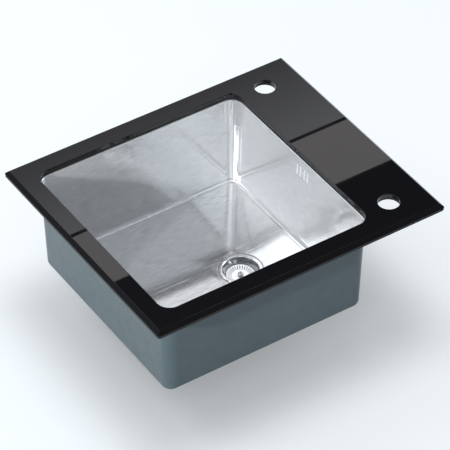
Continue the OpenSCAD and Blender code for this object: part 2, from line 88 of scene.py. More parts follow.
# %% [markdown]
# ## The camera
# The photograph looks down at the sink from the front left, at about 41 degrees, from so far off
# that parallel edges nearly stay parallel: a long lens, five metres away. The place was found by
# matching the corners of the glass, the tap holes and the drain, so it is written as a point and
# three directions.

# %% Camera
def new_object(name, data):
    made = bpy.data.objects.new(name, data)
    scene.collection.objects.link(made)
    return made


camera = new_object("camera", bpy.data.cameras.new("camera"))
camera.data.sensor_width = 36
camera.data.lens = 243.42
camera.data.clip_start, camera.data.clip_end = 0.1, 60
to_right = Vector((0.83273, -0.55368, 0))
to_top = Vector((0.36616, 0.55069, 0.75011))
to_back = Vector((-0.41532, -0.62464, 0.66131))
turn = Matrix((to_right, to_top, to_back)).transposed()
camera.matrix_world = Matrix.Translation((-2.25891, -3.40296, 3.52573)) @ turn.to_4x4()
scene.camera = camera
print("camera", round(camera.location.length, 2), "m away")

# %% [markdown]
# ## Floor and studio light
# Black glass and steel have hardly any colour of their own: they show what they mirror. The glass
# mirrors one small patch of the studio, up and behind the sink to the right. So the room is a plain
# pale dome, and that patch holds two soft panels with a narrow gap between them and a dark screen in
# front: the grey fields, the thin dark line and the black front of the glass. The panels are stage,
# and only mirrors see them, so no view looks at their backs.

# %% Floor
def stage_plane(name, corners):
    mesh = bpy.data.meshes.new(name)
    mesh.from_pydata(corners, [], [(0, 1, 2, 3)])
    plane = new_object(name, mesh)
    return plane


def level_corners(x_from, x_to, y_from, y_to, z):
    return [(x_from, y_from, z), (x_to, y_from, z), (x_to, y_to, z), (x_from, y_to, z)]


FLOOR_HALF = 9
floor_z = cad_box[0].z - 0.0005
floor = stage_plane("studio_floor", level_corners(-FLOOR_HALF, FLOOR_HALF, -FLOOR_HALF, FLOOR_HALF, floor_z))
print("floor at", round(floor_z, 4))

# %% Finish of the floor, and the room's own light
def feed(node, inputs):
    """A value that is a socket is linked to the node's input, any other is set."""
    for key, value in inputs.items():
        if isinstance(value, bpy.types.NodeSocket):
            node.id_data.links.new(value, node.inputs[key])
        else:
            node.inputs[key].default_value = value


def add_node(tree, kind, inputs=None, **settings):
    """Adds a node with those inputs and settings, and returns its outputs."""
    node = tree.nodes.new(kind)
    for key, value in settings.items():
        setattr(node, key, value)
    feed(node, inputs or {})
    return node.outputs


def shader_of(made):
    return made.node_tree.nodes["Principled BSDF"]


def finish(name, colour, roughness, metallic=0.0, specular=0.5):
    made = bpy.data.materials.new(name)
    made.use_nodes = True
    feed(shader_of(made), {"Base Color": (*colour, 1), "Roughness": roughness, "Metallic": metallic,
                           "Specular IOR Level": specular})
    return made


pale_floor = finish("pale_floor", (0.80, 0.82, 0.83), 0.9, specular=0.1)
feed(shader_of(pale_floor), {"Emission Color": (0.97, 0.99, 1.0, 1), "Emission Strength": 0.22})
floor.data.materials.append(pale_floor)

world = bpy.data.worlds.new("studio")
world.use_nodes = True
scene.world = world
feed(world.node_tree.nodes["Background"], {"Color": (0.90, 0.95, 1.0, 1), "Strength": 0.50})
scene.view_settings.view_transform = "Standard"
print("room light:", world.node_tree.nodes["Background"].inputs["Strength"].default_value)

# %% Lamps
def soft_lamp(name, place, aim, size, power, colour):
    data = bpy.data.lights.new(name, "AREA")
    data.shape = "RECTANGLE"
    data.size, data.size_y = size
    data.energy = power
    data.color = colour
    lamp = new_object(name, data)
    lamp.location = place
    lamp.rotation_euler = (Vector(aim) - Vector(place)).to_track_quat("-Z", "Y").to_euler()
    lamp.visible_camera = False
    return lamp


BOWL_AT, DAYLIGHT = (-0.05, 0, -0.1), (0.96, 0.98, 1.0)
key = soft_lamp("key_left", (-3.75, -1.25, 1.9), BOWL_AT, (0.25, 0.25), 340, (1.0, 0.99, 0.97))
soft_lamp("soft_back_left", (-1.45, 1.9, 2.05), BOWL_AT, (1.7, 1.5), 18, DAYLIGHT)
soft_lamp("soft_front_left", (-1.3, -1.9, 2.0), BOWL_AT, (1.4, 1.4), 5, DAYLIGHT)
top = soft_lamp("top_soft", (0.1, 0.1, 3.4), (0, 0, 0), (1.6, 1.6), 55, DAYLIGHT)
top.visible_glossy = False
not_by_key = bpy.data.collections.new("not lit by the key")
not_by_key.objects.link(floor)
not_by_key.collection_objects[0].light_linking.link_state = "EXCLUDE"
key.light_linking.receiver_collection = not_by_key

# %% Panels and dark screen that the glass mirrors
PANEL_H, PANEL_HALF, FADE_FRONT, FADE_BACK = 1.5, 0.45, 0.04, 0.24
GLASS_TOP = 0.014


def mirrored(x, y):
    """The point at the panels' height which the camera sees in the glass at (x, y)."""
    eye = camera.location
    grow = (eye.z - GLASS_TOP + PANEL_H) / (eye.z - GLASS_TOP)
    return eye.x + (x - eye.x) * grow, eye.y + (y - eye.y) * grow, GLASS_TOP + PANEL_H


def glow(name, colour, strength_front, strength_back):
    """Light that fades along Y over the panel it is on."""
    made = bpy.data.materials.new(name)
    made.use_nodes = True
    tree = made.node_tree
    tree.nodes.clear()
    split = add_node(tree, "ShaderNodeSeparateXYZ", {0: add_node(tree, "ShaderNodeTexCoord")["Object"]})
    ends = mirrored(0, FADE_FRONT)[1], mirrored(0, FADE_BACK)[1]
    fade = add_node(tree, "ShaderNodeMapRange",
                    {"Value": split["Y"], "From Min": ends[0], "From Max": ends[1],
                     "To Min": strength_front, "To Max": strength_back})
    light = add_node(tree, "ShaderNodeEmission", {"Color": (*colour, 1), "Strength": fade["Result"]})
    add_node(tree, "ShaderNodeOutputMaterial", {"Surface": light[0]})
    return made


def for_mirrors(name, corners, made):
    """A stage plane that only reflections see."""
    plane = stage_plane(name, corners)
    plane.data.materials.append(made)
    plane.visible_camera = plane.visible_shadow = plane.visible_diffuse = False


def panel(name, y_from, y_to, made):
    """A panel that the camera sees in the glass between those two places."""
    a, b = mirrored(-PANEL_HALF, y_from), mirrored(PANEL_HALF, y_to)
    for_mirrors(name, level_corners(a[0], b[0], a[1], b[1], a[2]), made)


COOL, WARM = (0.97, 0.985, 1.0), (1.0, 0.955, 0.955)
SCREEN_FRONT, SCREEN_BACK, GAP_FRONT, GAP_BACK, PANEL_BACK = -0.62, -0.103, 0.0335, 0.0415, 0.42
black = finish("screen_black", (0.006, 0.006, 0.007), 0.9, specular=0.1)
panel("panel_back", GAP_BACK, PANEL_BACK, glow("glow_back", COOL, 1.25, 0.55))
panel("panel_front", SCREEN_BACK, GAP_FRONT, glow("glow_front", WARM, 1.42, 1.42))
panel("panel_gap", GAP_FRONT, GAP_BACK, finish("screen_gap", (0.01, 0.01, 0.01), 0.9, specular=0.1))
panel("dark_screen", SCREEN_FRONT, SCREEN_BACK, black)

# %% [markdown]
# ### Edges and corners
# The bowl's round corner mirrors a place on the left by way of the floor: a small bright card there
# draws the white line down the corner. Two cards to the right draw the fine lines along the bends,
# and a grey one in front dims the left end of the back wall. A narrow black one lies level with the
# glass at the back of the opening: the bowl's floor mirrors it as the dark line behind the drain.

# %% Cards
SPARE = 0.12


def card(name, first, last, height, made):
    """A card along the line between two points, with some spare length at each end."""
    first, last = Vector(first), Vector(last)
    along = (last - first).normalized() * SPARE
    out = ((first + last) / 2).normalized()
    rise = out.cross(along).normalized() * height / 2
    a, b = first - along, last + along
    for_mirrors(name, [tuple(a - rise), tuple(b - rise), tuple(b + rise), tuple(a + rise)], made)


corner = Vector((0.14, 0.20, -0.29))
from_wall, from_floor = 2.6 * Vector((-0.79, -0.05, 0.61)), 2.6 * Vector((-0.72, -0.34, 0.61))
card("corner_card", corner + from_wall, corner + from_floor, 0.32, glow("glow_left", COOL, 9.0, 9.0))
card("grey_card", (0.55, -1.75, 1.30), (1.25, -1.75, 1.30), 0.36, glow("glow_grey", COOL, 0.22, 0.22))
bend_glow = glow("glow_corner", COOL, 4.0, 4.0)
card("bend_card", (0.72, 0.10, 2.35), (1.40, 0.10, 2.35), 0.16, bend_glow)
card("bend_card_thin", (0.72, 0.52, 2.35), (1.40, 0.52, 2.35), 0.08, bend_glow)
for_mirrors("rim_card", level_corners(-0.22, 0.16, 0.196, 0.2136, GLASS_TOP + 0.0002), black)

# %% [markdown]
# ## Finishes
# Every finish is built the same way: Object coordinates, stretched by a Mapping node, drive a noise,
# and the noise moves colour, roughness and bump a little. Object coordinates are safe here because
# every piece keeps its object at the origin, so the pattern rides along when a joint moves. Brushed
# steel is the exception: its lines follow the wall they are on, so it reads the piece's own UV map,
# where U runs along the brushing.

# %% Helpers for finishes
def add_noise(made, scale, detail, stretch=(1, 1, 1), source="Object"):
    """A noise on the piece's own coordinates; stretch makes it longer or finer along an axis."""
    tree = made.node_tree
    if source == "UV":
        place = add_node(tree, "ShaderNodeUVMap", uv_map="brushing")["UV"]
    else:
        place = add_node(tree, "ShaderNodeTexCoord")["Object"]
    mapped = add_node(tree, "ShaderNodeMapping", {"Vector": place, "Scale": stretch})[0]
    return add_node(tree, "ShaderNodeTexNoise",
                    {"Vector": mapped, "Scale": scale, "Detail": detail, "Roughness": 0.55})["Fac"]


def steer(made, value, socket, low, high, at=(0.3, 0.7)):
    """The noise value moves one number of the shader between low and high."""
    band = add_node(made.node_tree, "ShaderNodeMapRange",
                    {"Value": value, "From Min": at[0], "From Max": at[1], "To Min": low, "To Max": high})
    feed(shader_of(made), {socket: band["Result"]})


def tint(made, value, first, second, at=(0.3, 0.7)):
    """The noise value blends two colours."""
    blended = add_node(made.node_tree, "ShaderNodeValToRGB", {"Fac": value})["Color"]
    for stop, place, colour in zip(blended.node.color_ramp.elements, at, (first, second)):
        stop.position, stop.color = place, (*colour, 1)
    feed(shader_of(made), {"Base Color": blended})


def peaks(made, value, low, high):
    """Only what rises above low: a busy noise becomes a few separate marks."""
    return add_node(made.node_tree, "ShaderNodeMapRange",
                    {"Value": value, "From Min": low, "From Max": high})["Result"]


def relief(made, value, depth_mm):
    """The noise value lifts the surface by up to that depth; a second call rides on the first."""
    lift = {"Height": value, "Strength": 1.0, "Distance": depth_mm * MM}
    for link in shader_of(made).inputs["Normal"].links:
        lift["Normal"] = link.from_socket
    feed(shader_of(made), {"Normal": add_node(made.node_tree, "ShaderNodeBump", lift)["Normal"]})


def uneven(made, tints=None, rough=None, bumps=None):
    """Each starts with what add_noise takes, then says what that noise moves, and how far."""
    if tints:
        tint(made, add_noise(made, *tints[0]), *tints[1:])
    if rough:
        steer(made, add_noise(made, *rough[0]), "Roughness", *rough[1:])
    if bumps:
        relief(made, add_noise(made, *bumps[0]), bumps[1])


print("helpers ready; uneven calls tint, steer and relief")

# %% [markdown]
# ### Black glass
# Toughened glass is printed black underneath and polished on top: nearly black, very smooth, with
# faint wiping marks only where it mirrors a bright panel. The marks are a small change in roughness,
# and a broad, very shallow relief stands for the roller wave that toughening leaves. Its polished
# bevels get a duller, weaker reflection: painted shade that keeps them black where they would mirror the
# bright room.

# %% Black glass
black_glass = finish("black_glass", (0.004, 0.004, 0.005), 0.015)
feed(shader_of(black_glass), {"IOR": 1.52})
uneven(black_glass, rough=((14, 5), 0.008, 0.022), bumps=((5, 0), 0.006))
# Painted shade: the bevels' black is dull and barely reflects, where polished glass would mirror the bright
# room.
painted_dark_bevel = finish("painted_dark_bevel", (0.003, 0.003, 0.0035), 0.14, specular=0.14)
uneven(painted_dark_bevel, rough=((90, 3), 0.10, 0.18), bumps=((500, 2, (0.3, 0.3, 1)), 0.002))
print("glass finishes:", black_glass.name, painted_dark_bevel.name)

# %% [markdown]
# ### Brushed and coated steel
# Inside, the bowl is satin stainless steel, ground with a belt. The grinding leaves thousands of
# fine lines in one direction, which widen every highlight across them: that is what the anisotropic
# setting does, with the tangent from the UV map. Three noises, drawn out along the lines, give fine
# grain, broader bands and a few deeper scratches. The flat walls are a step coarser than the floor
# and bends, so they mirror the floor and the drain only as soft shades. Outside, the steel has a
# slate grey coat against condensation, sprayed on and slightly orange-peeled.

# %% Satin steel
def brushed(name, roughness, anisotropy, spread):
    colour = (0.67, 0.685, 0.70)
    made = finish(name, colour, roughness, metallic=0.78)
    along = add_node(made.node_tree, "ShaderNodeTangent", direction_type="UV_MAP", uv_map="brushing")
    feed(shader_of(made), {"Anisotropic": anisotropy, "Anisotropic Rotation": 0.25, "Tangent": along[0]})
    lines = add_noise(made, 660, 3, (0.07, 1, 1), "UV")
    bands = add_noise(made, 210, 2, (0.02, 1, 1), "UV")
    scratches = peaks(made, add_noise(made, 300, 1, (0.02, 1, 1), "UV"), 0.60, 0.76)
    steer(made, bands, "Roughness", roughness - spread, roughness + spread)
    tint(made, lines, tuple(0.87 * c for c in colour), tuple(1.08 * c for c in colour), (0.38, 0.62))
    relief(made, lines, 0.001)
    relief(made, bands, 0.004)
    relief(made, scratches, 0.036)
    return made


satin_steel = brushed("bowl_steel", 0.092, 0.38, 0.015)
wall_steel = brushed("wall_steel", 0.13, 0.40, 0.02)
slate_coat = finish("slate_coat", (0.055, 0.080, 0.092), 0.32, metallic=0.4)
uneven(slate_coat, ((60, 5), (0.051, 0.075, 0.087), (0.059, 0.085, 0.098)), ((40, 4), 0.30, 0.40),
       ((1300, 2), 0.02))
print("bowl finishes:", satin_steel.name, wall_steel.name, slate_coat.name)

# %% [markdown]
# ## The bowl
# The bowl is one sheet, 1 mm thick: a narrow flange, walls that lean in by two degrees, a tight bend,
# and a floor of four shallow planes that fall to the drain and leave creases where they meet. It
# could be carved by booleans, but every cross-section is the same rounded square, only moved in and
# down. So the mesh is a stack of rings, each given by how far it lies inside the rim and how deep it
# is. Extra rings just before each bend keep the flat parts flat in shading.

# %% Sizes of the bowl, in millimetres
BOWL_X = -46.0
RIM_HALF, RIM_CORNER = 213.5, 24.5
LEAN = tan(radians(2))
FLANGE_Z, FLANGE_OUT = 0.4, 13.0
FLOOR_Z, DRAIN_Z = -189.6, -193.6
BEND_R, LEDGE = 8.3, 3.0
DRAIN = (34.0, -6.0)
RECESS_R, RECESS_DEPTH, HOLE_R = 42.0, 2.0, 34.5
STAR_HALF, STAR_CORNER, STAR_Z = 51.0, 9.0, -193.15
ARC = 10


def rounded_ring(half, corner, middle=(BOWL_X, 0.0)):
    """Points of a rounded square, anticlockwise from the right side; two keep each side straight."""
    points = []
    reach = half - corner
    for quarter in range(4):
        cx = middle[0] + reach * (1, -1, -1, 1)[quarter]
        cy = middle[1] + reach * (1, 1, -1, -1)[quarter]
        start = 90 * quarter
        first = Vector((cos(radians(start)), sin(radians(start))))
        last = Vector((cos(radians(start + 90)), sin(radians(start + 90))))
        ease = min(1.5, 0.3 * reach)
        points.append((cx + corner * first.x - ease * last.x, cy + corner * first.y - ease * last.y))
        for step in range(ARC + 1):
            angle = radians(start + 90 * step / ARC)
            points.append((cx + corner * cos(angle), cy + corner * sin(angle)))
        points.append((cx + corner * last.x - ease * first.x, cy + corner * last.y - ease * first.y))
    return points


def round_ring(radius):
    """As many points on a circle round the drain, to be joined to a rounded square."""
    degrees = [2] + [4 + 82 / ARC * step for step in range(ARC + 1)] + [88]
    points = []
    for quarter in range(4):
        for degree in degrees:
            angle = radians(90 * quarter + degree)
            points.append((DRAIN[0] + radius * cos(angle), DRAIN[1] + radius * sin(angle)))
    return points


print("floor from", FLOOR_Z, "at the edge to", DRAIN_Z, "at the drain")

# %% Rings of the bowl, from the flange to the drain
def inside(offset, z):
    return [(x, y, z) for x, y in rounded_ring(RIM_HALF + offset, RIM_CORNER + offset)]


def between(outer, outer_z, inner, inner_z, share):
    """A ring that share of the way from one ring to the next."""
    z = outer_z + (inner_z - outer_z) * share
    return [(a[0] + (b[0] - a[0]) * share, a[1] + (b[1] - a[1]) * share, z) for a, b in zip(outer, inner)]


rings = [inside(FLANGE_OUT, FLANGE_Z), inside(FLANGE_OUT - 0.5, FLANGE_Z), inside(1.6, FLANGE_Z)]
for step in range(5):
    angle = radians(90 * step / 4)
    rings.append(inside(1 - sin(angle), FLANGE_Z - 1 + cos(angle)))
middle_z = FLOOR_Z + BEND_R
bend_in = -((FLANGE_Z - middle_z) * LEAN + BEND_R / cos(radians(2)))
for z in (-3.0, -60.0, -120.0, -170.0, middle_z + 2.0):
    rings.append(inside(-(FLANGE_Z - z) * LEAN, z))
for step in range(9):
    angle = radians(-2 - 88 * step / 8)
    rings.append(inside(bend_in + BEND_R * cos(angle), middle_z + BEND_R * sin(angle)))
rings.append(inside(bend_in - 0.8, FLOOR_Z))
rings.append(inside(bend_in - LEDGE + 0.6, FLOOR_Z - 0.01))
edge = rounded_ring(RIM_HALF + bend_in - LEDGE, RIM_CORNER + bend_in - LEDGE)
star = rounded_ring(STAR_HALF, STAR_CORNER, DRAIN)
for share in (0.0, 0.012, 0.25, 0.5, 0.75, 0.93, 0.985):
    rings.append(between(edge, FLOOR_Z, star, STAR_Z, share))
ring_of_floor = round_ring(RECESS_R + 0.8)
for share in (0.02, 0.12, 0.5, 0.92, 1.0):
    rings.append(between(star, STAR_Z, ring_of_floor, DRAIN_Z, share))
for radius, depth in ((RECESS_R + 0.3, 0.02), (RECESS_R + 0.05, 0.15), (RECESS_R, 0.4), (RECESS_R, 1.7),
                      (RECESS_R - 0.3, RECESS_DEPTH), (HOLE_R + 1, RECESS_DEPTH), (HOLE_R, RECESS_DEPTH)):
    rings.append([(x, y, DRAIN_Z - depth) for x, y in round_ring(radius)])
print("bowl rings:", len(rings), "of", len(rings[0]), "points")

# %% Join the rings, and lay the brushing direction in a UV map
LEVEL = 0.72


def loft(name, rings):
    around = len(rings[0])
    mesh = bpy.data.meshes.new(name)
    points = [(x * MM, y * MM, z * MM) for ring in rings for x, y, z in ring]
    faces = []
    for row in range(len(rings) - 1):
        here, below = row * around, (row + 1) * around
        for i in range(around):
            j = (i + 1) % around
            faces.append((here + i, here + j, below + j, below + i))
    mesh.from_pydata(points, [], faces)
    mesh.validate()
    return mesh


def brush_uv(mesh):
    """U runs along the grinding lines: level on the walls, left to right on the floor."""
    layer = mesh.uv_layers.new(name="brushing")
    for face in mesh.polygons:
        n = face.normal
        for corner in face.loop_indices:
            p = mesh.vertices[mesh.loops[corner].vertex_index].co
            if abs(n.z) > LEVEL:
                u, v = p.x, p.y
            elif abs(n.x) > abs(n.y):
                u, v = p.y, p.z
            else:
                u, v = p.x, p.z
            layer.data[corner].uv = (u, v)


def shade_smooth(mesh, degrees):
    mesh.polygons.foreach_set("use_smooth", [True] * len(mesh.polygons))
    mesh.set_sharp_from_angle(angle=radians(degrees))


def add_piece(name, mesh, finishes, smooth=40):
    piece = new_object(name, mesh)
    for one in finishes:
        mesh.materials.append(one)
    shade_smooth(mesh, smooth)
    return piece


bowl_sheet = add_piece("bowl_sheet", loft("bowl_sheet", rings), [satin_steel, slate_coat])
print("faces look in:", bowl_sheet.data.polygons[len(bowl_sheet.data.polygons) // 2].normal)

# %% [markdown]
# Solidify thickens the sheet outwards and puts the slate coat on the new outer side. Then a boolean
# cuts the four overflow slots and their screw hole through the right wall, while the mesh is still
# simple enough for that to be safe.

# %% Thickness and overflow slots
WALL_X, SLOT_Y, SLOT_Z, SLOT_W, SLOT_H, SLOT_REACH, SLOT_SIDES = 167, -6, -29.6, 5, 26.5, 6, 24


def as_mesh(name, made):
    mesh = bpy.data.meshes.new(name)
    made.to_mesh(mesh)
    made.free()
    return mesh


def capsule(height, shift=0):
    """A slot-shaped cutter that lies along X, shifted along the wall."""
    made = bmesh.new()
    outline = []
    for step in range(SLOT_SIDES):
        angle = 2 * pi * (step + 0.5) / SLOT_SIDES
        y, z = cos(angle) * SLOT_W / 2, sin(angle) * SLOT_W / 2
        end = copysign((height - SLOT_W) / 2, z)
        outline.append(((SLOT_Y + shift + y) * MM, (SLOT_Z + z + end) * MM))
    a = [made.verts.new(((WALL_X - SLOT_REACH) * MM, y, z)) for y, z in outline]
    b = [made.verts.new(((WALL_X + SLOT_REACH) * MM, y, z)) for y, z in outline]
    made.faces.new(a)
    made.faces.new(b)
    for i in range(SLOT_SIDES):
        j = (i + 1) % SLOT_SIDES
        made.faces.new((a[i], a[j], b[j], b[i]))
    bmesh.ops.recalc_face_normals(made, faces=made.faces)
    return as_mesh("cutter", made)


def join_meshes(name, meshes):
    made = bmesh.new()
    for mesh in meshes:
        made.from_mesh(mesh)
    return as_mesh(name, made)


def baked(piece):
    """Applies the piece's modifiers, so that it is a plain mesh."""
    seen = piece.evaluated_get(bpy.context.evaluated_depsgraph_get())
    mesh = bpy.data.meshes.new_from_object(seen)
    piece.modifiers.clear()
    piece.data = mesh


def coat_where(piece, made, chosen):
    """One more finish, on the faces that are chosen."""
    piece.data.materials.append(made)
    for face in piece.data.polygons:
        if chosen(face):
            face.material_index = len(piece.data.materials) - 1


def flat_inner_wall(face):
    upright, square_on = abs(face.normal.z) < 0.06, min(abs(face.normal.x), abs(face.normal.y)) < 0.08
    return face.material_index == 0 and upright and square_on


wall = bowl_sheet.modifiers.new("wall", "SOLIDIFY")
wall.thickness = 1.0 * MM
wall.offset = -1
wall.use_even_offset = True
wall.material_offset = 1
wall.material_offset_rim = 0
slots = [capsule(SLOT_H, shift) for shift in (-6, -15.6, 6, 15.6)]
screw_hole = capsule(SLOT_W + 0.001)
cutter = new_object("slot_cutter", join_meshes("slot_cutter", slots + [screw_hole]))
cut = bowl_sheet.modifiers.new("slots", "BOOLEAN")
cut.operation, cut.solver, cut.object = "DIFFERENCE", "EXACT", cutter
baked(bowl_sheet)
bpy.data.objects.remove(cutter)
bowl_sheet.data.set_sharp_from_angle(angle=radians(40))
brush_uv(bowl_sheet.data)
coat_where(bowl_sheet, wall_steel, flat_inner_wall)
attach(bowl_sheet, "root")
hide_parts("bowl")
print("bowl:", len(bowl_sheet.data.polygons), "faces,", len(bowl_sheet.data.materials), "finishes")

# %% [markdown]
# ## Finishes of the small parts
# The waste is turned and polished steel, so its marks run in rings about the drain's axis: the
# distance from that axis drives a one-dimensional noise. The frame is moulded plastic with a fine
# grain, the seal is foam with open pores, the nuts are glossy moulded plastic, the gaskets are
# rubber, and the clips are aluminium and zinc-plated steel.

# %% Lathe marks
DRAIN_AT = (DRAIN[0] * MM, DRAIN[1] * MM)


def turned_marks(made, depth_mm, spacing_mm, low, high):
    """Fine rings about the drain's axis, in relief and in roughness."""
    tree = made.node_tree
    place = add_node(tree, "ShaderNodeTexCoord")["Object"]
    centred = add_node(tree, "ShaderNodeMapping",
                       {"Vector": place, "Location": (-DRAIN_AT[0], -DRAIN_AT[1], 0), "Scale": (1, 1, 0)})[0]
    radius = add_node(tree, "ShaderNodeVectorMath", {0: centred}, operation="LENGTH")["Value"]
    marks = add_node(tree, "ShaderNodeTexNoise", {"W": radius, "Scale": 1 / (spacing_mm * MM), "Detail": 3},
                     noise_dimensions="1D")["Fac"]
    relief(made, marks, depth_mm)
    steer(made, marks, "Roughness", low, high)


print("the drain's axis is at", [round(c, 4) for c in DRAIN_AT])

# %% Metals of the waste and the clips
strainer_steel = finish("strainer_steel", (0.88, 0.89, 0.90), 0.16, metallic=1.0)
turned_marks(strainer_steel, 0.0015, 0.35, 0.12, 0.20)
# Painted shade: the funnel's steel is far darker than the ring's, for the dim recess of the cup.
funnel_painted_shade = finish("funnel_painted_shade", (0.40, 0.41, 0.42), 0.12, metallic=1.0)
turned_marks(funnel_painted_shade, 0.0015, 0.40, 0.10, 0.16)
# Painted light: the dish's steel is whiter and more diffuse than the ring's, so the deep dish reads bright.
lit_dish_steel = finish("lit_dish_steel", (0.95, 0.955, 0.96), 0.28, metallic=0.4)
turned_marks(lit_dish_steel, 0.002, 0.30, 0.26, 0.36)
post_steel = finish("post_steel", (0.62, 0.63, 0.64), 0.28, metallic=1.0)
turned_marks(post_steel, 0.003, 0.25, 0.22, 0.34)
knob_chrome = finish("knob_chrome", (0.58, 0.59, 0.60), 0.06, metallic=1.0)
uneven(knob_chrome, rough=((220, 3), 0.04, 0.09), bumps=((160, 1), 0.004))
DRAWN = (1, 1, 0.03), (1, 1, 0.02)
block_alloy = finish("block_alloy", (0.58, 0.59, 0.60), 0.38, metallic=1.0)
uneven(block_alloy, rough=((900, 3, DRAWN[0]), 0.32, 0.46), bumps=((1400, 2, DRAWN[1]), 0.006))
screw_zinc = finish("screw_zinc", (0.62, 0.64, 0.67), 0.30, metallic=1.0)
uneven(screw_zinc, ((90, 3), (0.56, 0.58, 0.62), (0.68, 0.69, 0.70)), ((400, 3), 0.24, 0.38))
pawl_zinc = finish("pawl_zinc", (0.55, 0.57, 0.60), 0.36, metallic=1.0)
uneven(pawl_zinc, ((60, 4), (0.48, 0.50, 0.54), (0.62, 0.63, 0.65)), ((300, 3), 0.30, 0.46),
       ((700, 2), 0.006))
print("marks of the clips' blocks are drawn out", [round(1 / s[2]) for s in DRAWN], "times")

# %% Plastics, rubber and adhesive
frame_black = finish("frame_black", (0.010, 0.010, 0.011), 0.46, specular=0.25)
uneven(frame_black, rough=((500, 2), 0.42, 0.54), bumps=((1500, 2), 0.02))
seal_black = finish("seal_black", (0.008, 0.008, 0.008), 0.9, specular=0.12)
uneven(seal_black, ((700, 4), (0.005, 0.005, 0.005), (0.012, 0.012, 0.012)), bumps=((1100, 3), 0.08))
bond = finish("bond", (0.020, 0.020, 0.021), 0.36)
uneven(bond, rough=((60, 3), 0.30, 0.46), bumps=((180, 2), 0.05))
pad_grey = finish("pad_grey", (0.085, 0.085, 0.09), 0.85, specular=0.3)
uneven(pad_grey, ((350, 5), (0.060, 0.060, 0.064), (0.115, 0.115, 0.12), (0.35, 0.65)),
       bumps=((420, 3), 0.16))
gasket_black = finish("gasket_black", (0.018, 0.018, 0.018), 0.62, specular=0.4)
uneven(gasket_black, rough=((200, 3), 0.54, 0.72), bumps=((900, 2), 0.012))
ring_white = finish("ring_white", (0.74, 0.73, 0.69), 0.7, specular=0.3)
uneven(ring_white, ((260, 4), (0.68, 0.67, 0.62), (0.79, 0.78, 0.74)), bumps=((800, 2), 0.02))
nut_white = finish("nut_white", (0.80, 0.80, 0.77), 0.34)
uneven(nut_white, ((30, 3), (0.77, 0.77, 0.735), (0.82, 0.82, 0.79)), ((420, 3), 0.28, 0.42),
       ((900, 2), 0.008))
print("finishes:", len(bpy.data.materials))

# %% [markdown]
# ## Pieces that keep the CAD shape
# The glass, the frame, the seal, the pads and the clips' blocks and pawls already have the right
# shape, but a CAD edge is perfectly sharp, and no real edge is. A copy of the node gets its loose
# triangles merged and its flat faces made whole, then a bevel of a few tenths of a millimetre goes
# round every edge. Weighted normals keep the flats flat, so only the new strips catch the light.

# %% Stand-ins and eased copies
def stand_in(piece, slot, *replaced):
    """The piece takes the place of those nodes and rides on their body; the slot argument is not used."""
    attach(piece, nodes[replaced[0]]["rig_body"])
    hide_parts(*replaced)
    print(piece.name, "for", ", ".join(replaced), "with", len(piece.data.polygons), "faces")


TOUCHING, FLAT = 1e-6, 0.6


def eased(name, node, made, width_mm):
    """A copy of the node with its edges rounded by that width."""
    work = bmesh.new()
    work.from_mesh(nodes[node].data)
    bmesh.ops.remove_doubles(work, verts=work.verts, dist=TOUCHING)
    bmesh.ops.dissolve_limit(work, angle_limit=radians(FLAT), verts=work.verts, edges=work.edges)
    mesh = as_mesh(name, work)
    if "custom_normal" in mesh.attributes:
        mesh.attributes.remove(mesh.attributes["custom_normal"])
    mesh.materials.clear()
    piece = add_piece(name, mesh, [made])
    mesh.polygons.foreach_set("material_index", [0] * len(mesh.polygons))
    edge = piece.modifiers.new("edge", "BEVEL")
    edge.width, edge.segments = width_mm * MM, 2
    edge.limit_method, edge.angle_limit = "ANGLE", radians(30)
    piece.modifiers.new("flats", "WEIGHTED_NORMAL").keep_sharp = True
    baked(piece)
    stand_in(piece, made.name, node)
    return piece


print("faces that turn less than", FLAT, "degrees become one")

# %% Glass, frame, seal, adhesive and pads
BEVEL_X, BEVEL_Y = 0.288, 0.243


def bevel_face(face):
    outside = abs(face.center.x) > BEVEL_X or abs(face.center.y) > BEVEL_Y
    return outside and abs(face.normal.z) < 0.97


plate = eased("glass_plate", "glass_deck", black_glass, 0.35)
# The polished bevels get the dull black: painted shade in place of a dark reflection.
coat_where(plate, painted_dark_bevel, bevel_face)
eased("frame_moulding", "support_frame", frame_black, 0.4)
eased("seal_strip", "worktop_seal", seal_black, 0.3)
eased("glass_adhesive", "glass_bond", bond, 0.15)
eased("bowl_adhesive", "bowl_bond", bond, 0.15)
eased("damping_pads", "sound_pads", pad_grey, 0.6)

# %% [markdown]
# ## Turned pieces
# Ring, funnel, nuts, gaskets, knob and post are all turned or moulded round one axis. Each is a
# closed outline of radius and height, whose corners are rounded before it is swept round the axis.
# That is quicker than rounding edges on a finished mesh.

# %% Outline helpers
def soften(outline, round_mm, steps=3):
    """The same outline with each corner off the axis rounded by up to that radius."""
    made = []
    for i, point in enumerate(outline):
        here = Vector(point)
        back, ahead = Vector(outline[i - 1]) - here, Vector(outline[(i + 1) % len(outline)]) - here
        turn = back.angle(ahead)
        if here.x < 0.01 or turn > radians(165):
            made.append(tuple(here))
            continue
        cut = min(round_mm / tan(turn / 2), 0.45 * back.length, 0.45 * ahead.length)
        start, end = here + back.normalized() * cut, here + ahead.normalized() * cut
        for step in range(steps + 1):
            share = step / steps
            made.append(tuple(start.lerp(here, share).lerp(here.lerp(end, share), share)))
    return made


def tube_outline(outer, inner, top, bottom):
    """Outline of a plain ring, from one depth below the drain's floor to another."""
    return [(inner, -bottom), (outer, -bottom), (outer, -top), (inner, -top)]


